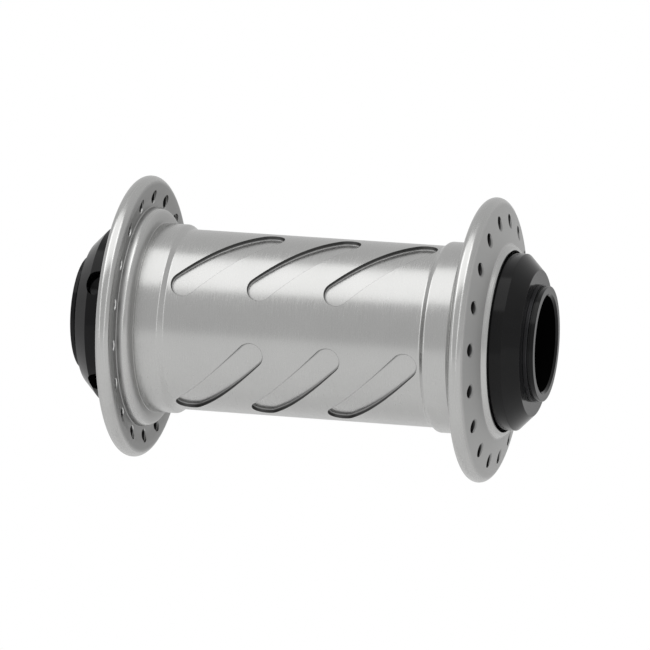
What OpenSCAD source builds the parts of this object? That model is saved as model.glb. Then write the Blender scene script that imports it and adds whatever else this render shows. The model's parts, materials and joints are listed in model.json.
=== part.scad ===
// Front hub of a bicycle wheel for a 20 mm thru-axle.
// The spin axis lies along Y, the origin is the centre of the hub,
// and the preload adjuster is on the -Y side.

/* [Shell] */
// Outside diameter of the barrel between the bearing housings
barrel_d = 38; // [37:0.1:40]
// Diameter of the bore through the barrel
barrel_bore_d = 32.8; // [30:0.1:34]
// Length of the barrel between the two cones up to the housings
barrel_len = 55; // [48:0.1:58]
// Outside diameter of the bearing housings
housing_d = 39.9; // [39.4:0.1:43]
// Length of the cone from the barrel up to a housing
step_len = 1.15; // [0.9:0.05:2.4]
// Overall width of the shell over its two mouths
shell_w = 84.2; // [82.5:0.1:90]
// Diameter of the mouth around an end cap
mouth_d = 38; // [37.6:0.1:39]
// Outside diameter of the raised lip round a mouth
lip_d = 40.6; // [40:0.1:43]
// Height of the raised lip over the face of the flange
lip_h = 1.1; // [0.9:0.1:1.6]

/* [Flanges] */
// Outside diameter of the flanges
flange_d = 59.5; // [57:0.1:64]
// Distance between the middle planes of the two rims
flange_spacing = 75.2; // [74:0.1:77]
// Thickness of the rounded rim of a flange
rim_t = 3.3; // [2.9:0.1:3.8]
// Radial height of the rounded rim
rim_h = 4.4; // [3.9:0.1:5]
// Thickness of the web between the inner and the outer face at the rim
web_in = 1.13; // [0.9:0.01:1.5]
// Diameter of the rounded shoulder that backs the web
shoulder_d = 46.4; // [45:0.1:47]
// Length of the shoulder from the web towards the barrel
shoulder_len = 2.72; // [2:0.01:3.4]
// Radius on the edge of the shoulder
shoulder_round = 1.5; // [0.8:0.1:1.9]

/* [Spokes] */
// Number of spoke holes in each flange
spokes_per_flange = 18; // [12:1:18]
// Diameter of the circle through the spoke holes
spoke_pcd = 50.6; // [50.2:0.1:51.2]
// Diameter of a spoke hole
spoke_hole_d = 2.6; // [2.3:0.1:2.8]
// Diameter of the countersink at each end of a spoke hole
countersink_d = 2.9; // [2.9:0.1:3.6]
// Angle of the first spoke hole in the +Y flange
spoke_turn = 10.5; // [0:0.5:20]

/* [Barrel pockets] */
// Rows of pockets around the barrel
pocket_rows = 4; // [2:1:4]
// Pockets in a row
pockets_per_row = 3; // [1:1:3]
// Distance between the pockets of a row
pocket_pitch = 16.5; // [15.5:0.1:17]
// Overall length of a pocket along its slant
pocket_len = 27.2; // [18:0.1:28]
// Width of a pocket
pocket_w = 5.5; // [3:0.1:5.8]
// Depth of a pocket
pocket_depth = 0.9; // [0.5:0.1:1.4]
// Slant of the pockets from the spin axis
pocket_slant = 45; // [35:1:55]
// Angle of the first row of pockets
pocket_turn = 29.1; // [0:0.1:90]
// Shift of the rows towards +Y
pocket_shift = 0.1; // [-1:0.1:1]

/* [Axle] */
// Over-locknut width, from one end of the axle to the other
axle_w = 100; // [99:0.1:104]
// Diameter of the bore for the thru-axle
axle_bore_d = 20; // [19:0.1:20.5]
// Diameter of the axle at the bearings, and bore of the bearings
axle_d = 25; // [24.6:0.1:25.6]
// Diameter of the two ends of the axle
stub_d = 24.1; // [23.6:0.1:24.4]
// Chamfer at the mouths of the bore
bore_chamfer = 0.5; // [0.1:0.1:0.6]
// Chamfer on the outer edge of the ends
stub_chamfer = 0.15; // [0.1:0.05:0.3]
// Wall of the sleeve between the bearings
sleeve_wall = 1.5; // [1:0.1:1.7]

/* [Bearings] */
// Outside diameter of the bearings
bearing_od = 37; // [36.6:0.1:37.4]
// Width of a bearing
bearing_w = 7; // [6.6:0.1:7.4]
// Distance from the middle of the hub to the inner face of a bearing
bearing_pos = 31.6; // [31:0.1:32]
// Diameter of the balls
ball_d = 3.5; // [3:0.1:3.7]
// Number of balls in a bearing
ball_count = 16; // [8:1:18]
// Thickness of a bearing seal
bearing_seal_t = 0.5; // [0.3:0.1:0.7]

/* [End caps] */
// Diameter of the end cap and of the adjuster
cap_d = 36.9; // [36.2:0.1:37.2]
// Diameter of the flat end face of a cap
cap_face_d = 30.6; // [28:0.1:32]
// Width of a cap from the bearing to its end face
cap_w = 9.25; // [8.6:0.05:9.6]
// Axial length of the cone of a cap
cap_cone_w = 3.1; // [2:0.1:4]
// Number of spanner holes in the adjuster
spanner_holes = 5; // [3:1:6]
// Diameter of the spanner holes
spanner_hole_d = 5.3; // [4:0.1:5.4]
// Depth of the spanner holes
spanner_hole_depth = 3.5; // [2:0.1:4]
// Distance of the spanner holes from the end face
spanner_hole_inset = 5.1; // [4.4:0.1:5.4]
// Angle of the first spanner hole
spanner_turn = 37.3; // [0:0.1:72]
// Thickness of the thrust washer under the adjuster
washer_t = 1; // [0.8:0.1:1.4]
// Travel of the adjuster from its rest to the retaining ring
adjuster_travel = 0.5; // [0.45:0.05:0.8]

/* [Rings and seals] */
// Width of a retaining ring
ring_w = 0.3; // [0.25:0.05:0.4]
// Height of a retaining ring over the axle end
ring_h = 0.2; // [0.1:0.05:0.4]
// Depth of the groove of a retaining ring
ring_groove_depth = 0.5; // [0.3:0.05:0.6]
// Thickness of the shim between the end cap and its retaining ring
shim_t = 0.5; // [0.3:0.05:0.6]
// Opening of a retaining ring
ring_gap = 5; // [3:0.5:8]
// Section diameter of the O-ring under the end cap
cap_o_ring_d = 1.2; // [1:0.05:1.4]
// Section diameter of the O-ring in the adjuster
adjuster_o_ring_d = 1; // [0.8:0.05:1.2]
// Width of a dust seal
dust_seal_w = 1.2; // [0.9:0.1:1.4]
// Depth of the dust seal's groove in the wall of the mouth
dust_groove_depth = 0.9; // [0.5:0.1:1.2]

/* [Fits] */
// Radial clearance of a sliding fit
slide_fit = 0.05; // [0.02:0.01:0.08]
// Radial clearance of a seated ring or race
seat_fit = 0.02; // [0.01:0.01:0.04]
// Clearance between the balls and their tracks
ball_fit = 0.04; // [0.02:0.01:0.06]
// Axial clearance that keeps turning faces apart
face_gap = 0.3; // [0.2:0.05:0.4]

/* [Hidden] */
$fn = 96;

// Radii that the driving diameters give
barrel_r = barrel_d / 2;
barrel_bore_r = barrel_bore_d / 2;
housing_r = housing_d / 2;
flange_r = flange_d / 2;
mouth_r = mouth_d / 2;
lip_r = lip_d / 2;
axle_r = axle_d / 2;
stub_r = stub_d / 2;
bearing_r = bearing_od / 2;
cap_r = cap_d / 2;
cap_face_r = cap_face_d / 2;

// Planes along the spin axis, measured from the middle of the hub
shell_end = shell_w / 2;
axle_end = axle_w / 2;
rim_z = flange_spacing / 2;
web_z = rim_z - web_in;
shoulder_z = web_z - shoulder_len;
housing_z = barrel_len / 2;
bearing_end = bearing_pos + bearing_w;
counterbore_z = bearing_end + face_gap;
cap_end = bearing_end + cap_w;
cap_start = bearing_end + 2 * face_gap;
dust_seal_z = counterbore_z;

// Rim and outer face of a flange
rim_r = rim_t / 2;
rim_out_z = rim_z + rim_r;
rim_centre = flange_r - rim_r;
rim_root = flange_r - rim_h + rim_r;
lip_foot_z = shell_end - lip_h;
lip_round = 0.7;
lip_lean = 30;
corner = 0.3;
overlap = 1;
// The outer face of a flange runs straight from a tangent point on its rim to the foot of the lip
foot_offset = [lip_r - rim_centre, lip_foot_z - rim_z];
web_angle = atan2(foot_offset[1], foot_offset[0]) - acos(rim_r / norm(foot_offset));
web_top = [rim_centre + rim_r * cos(web_angle), rim_z + rim_r * sin(web_angle)];
web_slope = (lip_foot_z - web_top[1]) / (web_top[0] - lip_r);

// Bearing tracks and cages
ball_r = ball_d / 2;
pitch_r = (axle_r + bearing_r) / 2;
track_r = ball_r + ball_fit;
// Shares of a ball's radius
land_share = 0.56;
cage_thickness_share = 0.25;
cage_back_share = 1.25;
cage_front_share = 0.55;
inner_land_r = pitch_r - ball_r * land_share;
outer_land_r = pitch_r + ball_r * land_share;
seal_inset = 0.15;
seal_seat = 0.5;

// Corners cut off the edges of the plain rings
edge_cut = 0.1;
sleeve_edge_cut = 0.2;
shim_edge_cut = 0.05;

// Boss of the end cap on the inner race, and the washer inside the adjuster's recess
boss_step = 0.2;
boss_r = inner_land_r - boss_step;
washer_r = boss_r - face_gap;

// Retaining rings and O-rings
ring_bottom_r = stub_r - ring_groove_depth;
ring_clear = 0.05;
right_ring_z = cap_end + shim_t;
left_ring_z = cap_end + adjuster_travel;
o_ring_place = 0.45;
o_ring_sink = 0.2;
o_ring_z = bearing_end + cap_w * o_ring_place;
cap_o_ring_r = stub_r - o_ring_sink;
adjuster_o_ring_r = stub_r + slide_fit + adjuster_o_ring_d / 2;
band_groove_w = 0.4;
band_groove_depth = 0.2;

// Stands the part's own axis along Y
module along_y() {
    rotate([-90, 0, 0])
        children();
}

// Puts a piece that is drawn for the +Y end on either end
module at_end(side) {
    along_y()
        mirror([0, 0, side > 0 ? 0 : 1])
            children();
}

// A ring of rectangular section with the corners cut off
module ring(r_in, r_out, z0, z1, cut = 0) {
    rotate_extrude()
        polygon([[r_in + cut, z0], [r_out - cut, z0], [r_out, z0 + cut], [r_out, z1 - cut],
            [r_out - cut, z1], [r_in + cut, z1], [r_in, z1 - cut], [r_in, z0 + cut]]);
}

// Section of one half of the shell: barrel, cone, housing, shoulder, web, rim and lip
module shell_half_section() {
    difference() {
        union() {
            polygon([[barrel_bore_r, 0], [barrel_r, 0], [barrel_r, housing_z],
                [housing_r, housing_z + step_len], [housing_r, lip_foot_z],
                [barrel_bore_r, lip_foot_z]]);
            shoulder_section();
            flange_section();
            lip_section();
        }
        mouth_section();
    }
}

// Shoulder behind the web, with one rounded edge
module shoulder_section() {
    shoulder_r = shoulder_d / 2;
    polygon([[barrel_r, shoulder_z], [shoulder_r - shoulder_round, shoulder_z],
        [shoulder_r - shoulder_round, shoulder_z + shoulder_round],
        [shoulder_r, shoulder_z + shoulder_round], [shoulder_r, web_z + overlap / 2],
        [barrel_r, web_z + overlap / 2]]);
    translate([shoulder_r - shoulder_round, shoulder_z + shoulder_round])
        circle(r = shoulder_round);
}

// Rounded rim, and the web that runs down to the lip
module flange_section() {
    translate([rim_centre, rim_z])
        circle(r = rim_r);
    translate([rim_root, rim_z])
        circle(r = rim_r);
    polygon([[rim_root, rim_z - rim_r], [rim_centre, rim_z - rim_r],
        [rim_centre, rim_out_z], [rim_root, rim_out_z]]);
    polygon([[barrel_r, web_z], [rim_centre, web_z], [rim_centre, rim_z], web_top,
        [lip_r, lip_foot_z], [barrel_r, lip_foot_z]]);
}

// Raised lip round the mouth: a leaning side that runs into a rounded edge
module lip_section() {
    round_z = shell_end - lip_round;
    side_z = round_z + lip_round * sin(lip_lean);
    side_r = lip_r - (side_z - lip_foot_z) * tan(lip_lean);
    round_r = side_r - lip_round * cos(lip_lean);
    polygon([[barrel_bore_r, lip_foot_z - overlap], [lip_r, lip_foot_z - overlap],
        [lip_r, lip_foot_z], [side_r, side_z], [round_r, round_z], [round_r, shell_end],
        [barrel_bore_r, shell_end]]);
    translate([round_r, round_z])
        circle(r = lip_round);
}

// What the bearing, the dust seal and the end cap need inside a housing
module mouth_section() {
    seat_r = bearing_r + seat_fit;
    groove_end = dust_seal_z + dust_seal_w;
    polygon([[0, bearing_pos], [seat_r, bearing_pos], [seat_r, counterbore_z],
        [mouth_r + dust_groove_depth, counterbore_z], [mouth_r + dust_groove_depth, groove_end],
        [mouth_r, groove_end], [mouth_r, shell_end + overlap], [0, shell_end + overlap]]);
}

// One spoke hole, along its own axis, with a countersink at each end
module spoke_hole() {
    hole_r = spoke_hole_d / 2;
    sink_r = countersink_d / 2;
    sink = sink_r - hole_r;
    spoke_r = spoke_pcd / 2;
    // Height of the sloping outer face at the holes
    face_z = web_top[1] + web_slope * (web_top[0] - spoke_r);
    rotate_extrude()
        polygon([[0, web_z - overlap], [sink_r + overlap, web_z - overlap], [hole_r, web_z + sink],
            [hole_r, face_z - sink], [sink_r + overlap, face_z + overlap],
            [0, face_z + overlap]]);
}

module spoke_holes(side) {
    step = 360 / spokes_per_flange;
    turn = side > 0 ? spoke_turn : spoke_turn - step / 2;
    mirror([0, 0, side > 0 ? 0 : 1])
        for (i = [0 : spokes_per_flange - 1])
            rotate(turn + i * step)
                translate([spoke_pcd / 2, 0, 0])
                    spoke_hole();
}

// Stations along one pocket: distance along its slant, and half its width there
pocket_half = pocket_len / 2 - pocket_w / 2;
end_steps = 6;
side_steps = 8;
pocket_stations = [
    for (i = [0 : end_steps])
        let (t = 90 * (2 * i + 1) / (2 * end_steps + 1))
            [-pocket_half - pocket_w / 2 * cos(t), pocket_w / 2 * sin(t)],
    for (i = [1 : side_steps - 1])
        [pocket_half * (2 * i / side_steps - 1), pocket_w / 2],
    for (i = [end_steps : -1 : 0])
        let (t = 90 * (2 * i + 1) / (2 * end_steps + 1))
            [pocket_half + pocket_w / 2 * cos(t), pocket_w / 2 * sin(t)]
];

// Point on a cylinder of radius r, wound on from its place along and across the slant
function wound(along, across, r) =
    let (z = along * cos(pocket_slant) + across * sin(pocket_slant),
        arc = across * cos(pocket_slant) - along * sin(pocket_slant),
        angle = arc / barrel_r * 180 / PI)
        [r * cos(angle), r * sin(angle), z];

// A slanted slot with radial walls, which the barrel's curve is wound round
module slanted_slot(r_in, r_out) {
    last = len(pocket_stations) - 1;
    points = [for (s = pocket_stations) each [wound(s[0], -s[1], r_out), wound(s[0], s[1], r_out),
        wound(s[0], -s[1], r_in), wound(s[0], s[1], r_in)]];
    // Each station has four corners: left and right at r_out, then left and right at r_in
    sides = [for (k = [0 : last - 1]) let (a = 4 * k, b = a + 4) each [
        [a, b, b + 1], [a, b + 1, a + 1], [a + 2, b + 3, b + 2], [a + 2, a + 3, b + 3],
        [a, b + 2, b], [a, a + 2, b + 2], [a + 1, b + 1, b + 3], [a + 1, b + 3, a + 3]]];
    tip = 4 * last;
    ends = [[0, 1, 3], [0, 3, 2], [tip, tip + 3, tip + 1], [tip, tip + 2, tip + 3]];
    polyhedron(points = points, faces = concat(sides, ends));
}

module barrel_pockets() {
    floor_r = barrel_r - pocket_depth;
    intersection() {
        difference() {
            cylinder(r = barrel_r + overlap, h = barrel_len, center = true);
            cylinder(r = floor_r, h = barrel_len + overlap, center = true);
        }
        for (row = [0 : pocket_rows - 1])
            rotate(pocket_turn + row * 360 / pocket_rows)
                for (i = [0 : pockets_per_row - 1])
                    translate([0, 0, pocket_shift + (i - (pockets_per_row - 1) / 2) * pocket_pitch])
                        slanted_slot(floor_r - overlap / 2, barrel_r + overlap / 2);
    }
}

// Silver shell that turns with the wheel
module hub_shell() {
    color("silver")
        along_y()
            difference() {
                rotate_extrude() {
                    shell_half_section();
                    mirror([0, 1])
                        shell_half_section();
                }
                spoke_holes(1);
                spoke_holes(-1);
                barrel_pockets();
            }
}

// Groove of a retaining ring at height z, with a shallow groove outside it
module ring_groove(z) {
    ring_end = z + ring_w + ring_clear;
    ring(ring_bottom_r, stub_r + overlap, z, ring_end);
    ring(stub_r - band_groove_depth, stub_r + overlap, ring_end, ring_end + band_groove_w);
}

// Hollow axle that the fork holds through its bore
module axle_tube() {
    bore_r = axle_bore_d / 2;
    color("#2b2b2b")
        along_y()
            difference() {
                rotate_extrude()
                    polygon([[bore_r + bore_chamfer, -axle_end], [stub_r - stub_chamfer, -axle_end],
                        [stub_r, -axle_end + stub_chamfer], [stub_r, -bearing_end],
                        [axle_r - corner, -bearing_end], [axle_r, -bearing_end + corner],
                        [axle_r, bearing_end - corner], [axle_r - corner, bearing_end],
                        [stub_r, bearing_end], [stub_r, axle_end - stub_chamfer],
                        [stub_r - stub_chamfer, axle_end], [bore_r + bore_chamfer, axle_end],
                        [bore_r, axle_end - bore_chamfer], [bore_r, -axle_end + bore_chamfer]]);
                ring_groove(right_ring_z);
                mirror([0, 0, 1])
                    ring_groove(left_ring_z);
                // Groove of the O-ring under the end cap
                ring(cap_o_ring_r - cap_o_ring_d / 2 - seat_fit, stub_r + overlap,
                    o_ring_z - cap_o_ring_d / 2 - seat_fit, o_ring_z + cap_o_ring_d / 2 + seat_fit);
            }
}

// Sleeve on the axle that keeps the inner races apart
module bearing_spacer() {
    sleeve_r = axle_r + slide_fit;
    color("gainsboro")
        along_y()
            ring(sleeve_r, sleeve_r + sleeve_wall, -bearing_pos, bearing_pos, sleeve_edge_cut);
}

// Outside of the end cap and of the adjuster: seat at height seat_z, band, cone and end face
module cap_body(seat_z) {
    rotate_extrude()
        polygon([[0, seat_z], [boss_r, seat_z], [boss_r, cap_start],
            [cap_r - corner, cap_start], [cap_r, cap_start + corner],
            [cap_r, cap_end - cap_cone_w], [cap_face_r, cap_end], [0, cap_end]]);
}

// Black end cap, seated on the +Y end of the axle
module right_end_cap() {
    color("#262626")
        at_end(1)
            difference() {
                cap_body(bearing_end);
                cylinder(r = stub_r + seat_fit, h = 2 * axle_end);
                ring(stub_r, cap_o_ring_r + cap_o_ring_d / 2 + seat_fit,
                    o_ring_z - cap_o_ring_d / 2 - seat_fit, o_ring_z + cap_o_ring_d / 2 + seat_fit);
            }
}

// Black adjuster on the thread of the -Y end, with blind holes for a pin spanner
module preload_adjuster() {
    hole_z = cap_end - spanner_hole_inset;
    color("#262626")
        at_end(-1)
            difference() {
                cap_body(bearing_end + washer_t);
                cylinder(r = stub_r + slide_fit, h = 2 * axle_end);
                ring(stub_r, adjuster_o_ring_r + adjuster_o_ring_d / 2 + seat_fit,
                    o_ring_z - adjuster_o_ring_d / 2 - seat_fit,
                    o_ring_z + adjuster_o_ring_d / 2 + seat_fit);
                for (i = [0 : spanner_holes - 1])
                    rotate(spanner_turn + i * 360 / spanner_holes)
                        translate([cap_r - spanner_hole_depth, 0, hole_z])
                            rotate([0, 90, 0])
                                cylinder(d = spanner_hole_d, h = 2 * spanner_hole_depth);
            }
}

// Washer between the adjuster and the inner race
module thrust_washer() {
    color("gainsboro")
        at_end(-1)
            ring(stub_r + slide_fit, washer_r, bearing_end, bearing_end + washer_t, edge_cut);
}

// Open spring ring in its groove on an axle end
module retaining_ring(side, z) {
    color("#1c1c1c")
        at_end(side)
            difference() {
                ring(ring_bottom_r + ring_clear, stub_r + ring_h, z + ring_clear / 2,
                    z + ring_clear / 2 + ring_w);
                rotate(180)
                    translate([stub_r, 0, z])
                        cube([4 * ring_groove_depth + overlap, ring_gap, 4 * ring_w], center = true);
            }
}

module right_retaining_ring() {
    retaining_ring(1, right_ring_z);
}

module left_retaining_ring() {
    retaining_ring(-1, left_ring_z);
}

// Shim that takes up the play between the end cap and its retaining ring
module right_cap_shim() {
    color("#1c1c1c")
        at_end(1)
            ring(stub_r + seat_fit, stub_r + ring_h, cap_end, cap_end + shim_t, shim_edge_cut);
}

// Round rubber ring, middle of its section at radius r and height z
module o_ring(r, z, section_d) {
    rotate_extrude()
        translate([r, z])
            circle(d = section_d);
}

module right_cap_o_ring() {
    color("#101010")
        at_end(1)
            o_ring(cap_o_ring_r, o_ring_z, cap_o_ring_d);
}

module adjuster_o_ring() {
    color("#101010")
        at_end(-1)
            o_ring(adjuster_o_ring_r, o_ring_z, adjuster_o_ring_d);
}

// Rubber ring in the wall of the mouth, with its lip close round the cap
module dust_seal(side) {
    lip = cap_r + 2 * slide_fit;
    back = mouth_r + dust_groove_depth - seat_fit;
    color("#141414")
        at_end(side)
            rotate_extrude()
                polygon([[mouth_r, dust_seal_z + seat_fit], [back, dust_seal_z + seat_fit],
                    [back, dust_seal_z + dust_seal_w - seat_fit],
                    [lip, dust_seal_z + dust_seal_w - seat_fit],
                    [lip, dust_seal_z + dust_seal_w / 2]]);
}

module right_dust_seal() {
    dust_seal(1);
}

module left_dust_seal() {
    dust_seal(-1);
}

// Outer race with its track and the two seats for its seals
module outer_race(side) {
    z0 = bearing_pos;
    z1 = bearing_end;
    seat_r = outer_land_r + seal_seat;
    depth = seal_inset + bearing_seal_t + seat_fit;
    color("lightsteelblue")
        at_end(side)
            rotate_extrude()
                difference() {
                    polygon([[seat_r, z0], [bearing_r - corner, z0], [bearing_r, z0 + corner],
                        [bearing_r, z1 - corner], [bearing_r - corner, z1], [seat_r, z1],
                        [seat_r, z1 - depth], [outer_land_r, z1 - depth], [outer_land_r, z0 + depth],
                        [seat_r, z0 + depth]]);
                    translate([pitch_r, (z0 + z1) / 2])
                        circle(r = track_r);
                }
}

// Inner race with its track
module inner_race(side) {
    z0 = bearing_pos;
    z1 = bearing_end;
    bore_r = axle_r + seat_fit;
    color("lightsteelblue")
        at_end(side)
            rotate_extrude()
                difference() {
                    polygon([[bore_r + corner, z0], [inner_land_r, z0], [inner_land_r, z1],
                        [bore_r + corner, z1], [bore_r, z1 - corner], [bore_r, z0 + corner]]);
                    translate([pitch_r, (z0 + z1) / 2])
                        circle(r = track_r);
                }
}

// Copies a piece to each place of a ball, along the bearing's own axis
module at_balls() {
    for (i = [0 : ball_count - 1])
        rotate(i * 360 / ball_count)
            translate([pitch_r, 0, bearing_pos + bearing_w / 2])
                children();
}

module bearing_balls(side) {
    color("whitesmoke")
        at_end(side)
            at_balls()
                sphere(r = ball_r);
}

// Crown cage that keeps the balls apart
module ball_cage(side) {
    middle = bearing_pos + bearing_w / 2;
    half_t = ball_r * cage_thickness_share;
    color("peru")
        at_end(side)
            difference() {
                ring(pitch_r - half_t, pitch_r + half_t, middle - ball_r * cage_front_share,
                    middle + ball_r * cage_back_share, edge_cut);
                at_balls()
                    sphere(r = ball_r + ball_fit);
            }
}

// Flat seal from the outer race to just over the inner race, at height z
module bearing_seal(side, z) {
    inner_r = inner_land_r + 2 * slide_fit;
    outer_r = outer_land_r + seal_seat - seat_fit;
    color("#303030")
        at_end(side)
            ring(inner_r, outer_r, z, z + bearing_seal_t, edge_cut);
}

module right_outer_race() {
    outer_race(1);
}

module right_inner_race() {
    inner_race(1);
}

module right_bearing_balls() {
    bearing_balls(1);
}

module right_ball_cage() {
    ball_cage(1);
}

module right_inner_seal() {
    bearing_seal(1, bearing_pos + seal_inset);
}

module right_outer_seal() {
    bearing_seal(1, bearing_end - seal_inset - bearing_seal_t);
}

module left_outer_race() {
    outer_race(-1);
}

module left_inner_race() {
    inner_race(-1);
}

module left_bearing_balls() {
    bearing_balls(-1);
}

module left_ball_cage() {
    ball_cage(-1);
}

module left_inner_seal() {
    bearing_seal(-1, bearing_pos + seal_inset);
}

module left_outer_seal() {
    bearing_seal(-1, bearing_end - seal_inset - bearing_seal_t);
}

hub_shell();
axle_tube();
bearing_spacer();
right_end_cap();
right_retaining_ring();
right_cap_shim();
right_cap_o_ring();
preload_adjuster();
thrust_washer();
left_retaining_ring();
adjuster_o_ring();
right_dust_seal();
left_dust_seal();
right_outer_race();
right_inner_race();
right_bearing_balls();
right_ball_cage();
right_inner_seal();
right_outer_seal();
left_outer_race();
left_inner_race();
left_bearing_balls();
left_ball_cage();
left_inner_seal();
left_outer_seal();
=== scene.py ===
import json
import math
from collections import namedtuple

import bmesh
import bpy
import numpy as np
from mathutils import Matrix, Vector


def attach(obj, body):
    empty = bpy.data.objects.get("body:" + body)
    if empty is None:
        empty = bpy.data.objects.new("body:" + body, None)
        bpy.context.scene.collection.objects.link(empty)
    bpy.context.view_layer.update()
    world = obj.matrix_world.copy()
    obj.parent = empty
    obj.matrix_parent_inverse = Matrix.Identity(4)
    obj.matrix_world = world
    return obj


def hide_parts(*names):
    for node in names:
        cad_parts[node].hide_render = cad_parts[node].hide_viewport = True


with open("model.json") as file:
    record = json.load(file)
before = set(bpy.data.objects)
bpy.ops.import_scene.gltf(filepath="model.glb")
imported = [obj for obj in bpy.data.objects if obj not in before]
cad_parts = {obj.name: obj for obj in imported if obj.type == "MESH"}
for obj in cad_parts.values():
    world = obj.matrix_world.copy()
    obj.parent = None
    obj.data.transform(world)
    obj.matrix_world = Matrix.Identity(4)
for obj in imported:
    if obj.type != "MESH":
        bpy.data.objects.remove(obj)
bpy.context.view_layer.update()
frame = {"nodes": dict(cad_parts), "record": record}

# Sizes are in millimetres. Only the camera's distance, the floor's mesh and the lamps are in metres
MM = 0.001
PER_MM = 1000.0

# Outlines are turned round Y, the spin axis: r is the distance from it, and y the place along it.
# Angles round the axis of holes and pockets go from +X towards -Z.

# Hub shell, one end; the other end is its mirror image
BARREL_R = 19.0
CONE_START = 27.5
CONE_END = 28.65
CONE_ROUND = 0.9
HOUSING_R = 19.95
SHOULDER_R = 23.2
SHOULDER_BACK = 33.75
SHOULDER_ROUND = 2.2
INNER_FACE = 36.47
RIM_PLANE = 37.6
RIM_MID_R = 28.1
RIM_BEAD = 1.65
INNER_SLOPE_START_R = 25.1
INNER_SLOPE_END_R = 26.9
INNER_SLOPE_ROUND = 4.0
WEB_LEAN = 12.37
LIP_FOOT_R = 20.3
LIP_FOOT = 41.0
LIP_MID_R = 19.261
LIP_ROUND = 0.7
MOUTH_R = 19.0
MOUTH_END = 42.1
SEAL_GROOVE_R = 19.9
SEAL_GROOVE_START = 38.9
SEAL_GROOVE_END = 40.1
BEARING_SEAT_R = 18.52
BEARING_SEAT_START = 31.6
HOLLOW_R = 16.4

# Spoke holes of each flange, with the angle of the first one in the right (1) and the left (-1) flange
SPOKE_HOLES = 18
SPOKE_HOLE_R = 1.3
SPOKE_CIRCLE_R = 25.3
SPOKE_FIRST = {1: 10.5, -1: 0.5}

# Pockets in the barrel: slanted slots with round ends
POCKET_ROWS = 4
POCKETS_IN_ROW = 3
POCKET_TURN = 29.1
POCKET_SHIFT = 0.1
POCKET_PITCH = 16.5
POCKET_SLANT = math.radians(45.0)
POCKET_HALF_STRAIGHT = 10.85
POCKET_HALF_WIDTH = 2.75
POCKET_FLOOR_R = 18.1
POCKET_EDGE_ROUND = 0.05
POCKET_FOOT_ROUND = 0.3

# End cap and preload adjuster
CAP_R = 18.45
CAP_BACK = 39.2
CAP_EDGE = 44.75
CAP_FACE_R = 15.3
CAP_FACE = 47.85
CAP_BOSS_R = 14.32
CAP_BORE_R = 12.07
CAP_BOTTOM = 38.6
ADJUSTER_BORE_R = 12.1
ADJUSTER_BOTTOM = 39.6
SPANNER_HOLES = 5
SPANNER_HOLE_R = 2.65
SPANNER_HOLE_BOTTOM = 15.1
SPANNER_FIRST = 37.3
SPANNER_PLACE = -42.75

# Axle
AXLE_R = 12.05
AXLE_MID_R = 12.5
AXLE_STEP = 38.6
AXLE_END = 50.0
AXLE_BORE_R = 10.0
BORE_CHAMFER = 0.5
RING_GROOVE_R = 11.55
RING_GROOVE_START = 48.35
RING_GROOVE_END = 48.7
BAND_GROOVE_R = 11.85
BAND_GROOVE_END = 49.1

# Material index of a face, by how it was made, and that of the axle's bore
TURNED, DRILLED, POCKET_FLOOR, POCKET_WALL = range(4)
BORE = 1


def web_face(r):
    """Height of a flange's outer face at a distance r from the axis: a slope that touches the rim's bead."""
    lean = math.radians(WEB_LEAN)
    return RIM_PLANE + RIM_BEAD / math.cos(lean) + math.tan(lean) * (RIM_MID_R - r)


def facing(origin, z_axis, x_axis):
    """Matrix that puts a thing at the origin given, with its own Z and X along the axes given."""
    turn = Matrix((x_axis, z_axis.cross(x_axis), z_axis)).transposed().to_4x4()
    return Matrix.Translation(origin) @ turn


# Camera. It aims a little to the right of the hub's middle and above it, as the camera sees it
VIEW_AZIMUTH = math.radians(105.5576)
VIEW_ELEVATION = math.radians(14.3826)
VIEW_DISTANCE = 1.30745
VIEW_LENS = 345.34
SENSOR_WIDTH = 36.0
AIM_RIGHT = 2.1787
AIM_UP = 0.6125


def make_camera():
    """Camera at the photograph's angle and distance."""
    right = Vector((math.cos(VIEW_AZIMUTH), math.sin(VIEW_AZIMUTH), 0.0))
    back = Vector((math.sin(VIEW_AZIMUTH) * math.cos(VIEW_ELEVATION),
                   -math.cos(VIEW_AZIMUTH) * math.cos(VIEW_ELEVATION), math.sin(VIEW_ELEVATION)))
    up = back.cross(right)
    aim = right * AIM_RIGHT * MM + up * AIM_UP * MM
    data = bpy.data.cameras.new("camera")
    data.sensor_width = SENSOR_WIDTH
    data.lens = VIEW_LENS
    cam = bpy.data.objects.new("camera", data)
    cam.matrix_world = facing(aim + back * VIEW_DISTANCE, back, right)
    bpy.context.scene.collection.objects.link(cam)
    bpy.context.scene.camera = cam


# Outlines
def fillet(before, corner, after, radius):
    """Points of the arc that rounds a corner, kept clear of the neighbouring corners."""
    a, b = before - corner, after - corner
    len_a, len_b = np.linalg.norm(a), np.linalg.norm(b)
    a, b = a / len_a, b / len_b
    half = math.acos(max(-1.0, min(1.0, float(a @ b)))) / 2
    trim = min(radius / math.tan(half), 0.49 * len_a, 0.49 * len_b)
    radius = trim * math.tan(half)
    centre = corner + (a + b) / np.linalg.norm(a + b) * radius / math.sin(half)
    first, last = corner + a * trim - centre, corner + b * trim - centre
    start, end = math.atan2(first[1], first[0]), math.atan2(last[1], last[0])
    sweep = (end - start + math.pi) % (2 * math.pi) - math.pi
    steps = max(3, int(abs(sweep) / math.radians(12)))
    angles = [start + sweep * k / steps for k in range(steps + 1)]
    return [centre + radius * np.array((math.cos(t), math.sin(t))) for t in angles]


def rounded(corners):
    """Corners (r, y, fillet radius) to a closed outline of points (r, y)."""
    points = [np.array(corner[:2], float) for corner in corners]
    out = []
    for i, (_, _, radius) in enumerate(corners):
        if radius > 0:
            out += fillet(points[i - 1], points[i], points[(i + 1) % len(points)], radius)
        else:
            out.append(points[i])
    return out


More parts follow.
